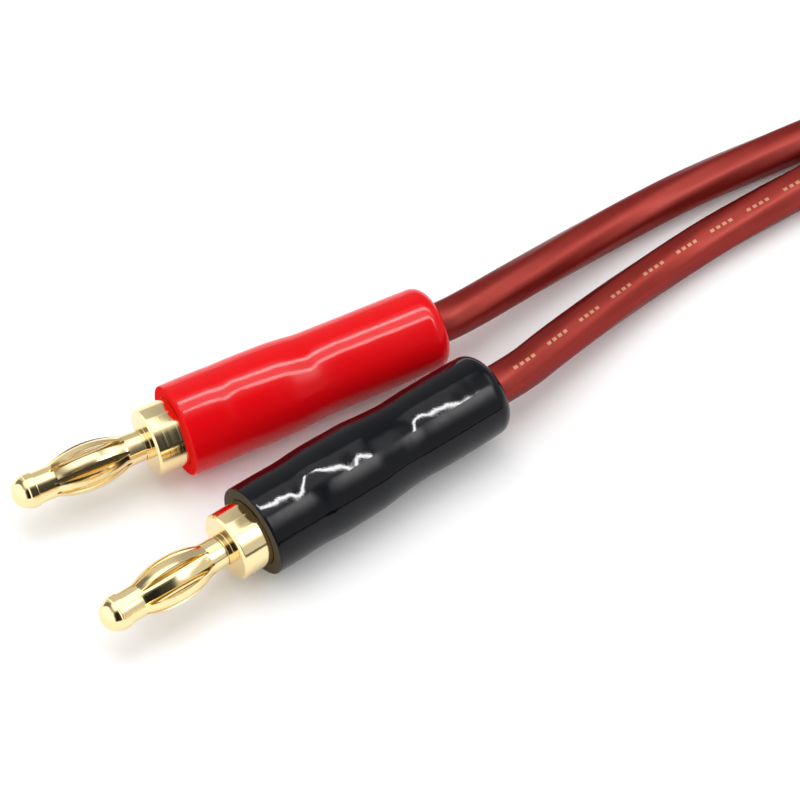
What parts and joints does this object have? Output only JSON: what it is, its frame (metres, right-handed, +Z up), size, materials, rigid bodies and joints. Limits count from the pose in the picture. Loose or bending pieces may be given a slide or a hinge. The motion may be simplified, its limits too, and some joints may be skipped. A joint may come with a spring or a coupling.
{
  "type": "phono to banana adapter lead",
  "caption": "Adapter lead with sprung 4 mm banana plugs in soft red and black sleeves on a split twin cable that ends in a phono plug.",
  "frame": {"origin": "on the floor, under the middle of the box round the pair of banana plugs", "axes": "+X along the plugs from their noses to the cable, +Z up; the red plug lies on the +Y side"},
  "size_m": [0.1789, 0.1108, 0.013],
  "materials": {
    "gold_plate": "turned and gold plated, bright",
    "spring_gold": "rolled sheet, gold plated, bright",
    "shell_gold": "turned and gold plated, satin",
    "screw_steel": "plain steel",
    "copper_strand": "bare stranded copper",
    "red_pvc": "soft glossy PVC",
    "black_pvc": "soft glossy PVC",
    "jacket": "translucent dark red PVC over copper",
    "insulator": "white insulator",
    "boot_pvc": "soft matte PVC"
  },
  "bodies": {
    "root": {"red_contact": "gold_plate", "red_spring_cage": "spring_gold", "red_clamp_screw": "screw_steel", "red_conductor": "copper_strand", "red_sleeve": "red_pvc", "red_leg": "jacket", "black_contact": "gold_plate", "black_spring_cage": "spring_gold", "black_clamp_screw": "screw_steel", "black_conductor": "copper_strand", "black_sleeve": "black_pvc", "black_leg": "jacket", "twin_cable": "jacket", "phono_pin": "gold_plate", "phono_insulator": "insulator", "phono_body": "gold_plate", "phono_shell": "shell_gold", "phono_boot": "boot_pvc", "signal_conductor": "copper_strand", "ground_conductor": "copper_strand"}
  },
  "joints": []
}
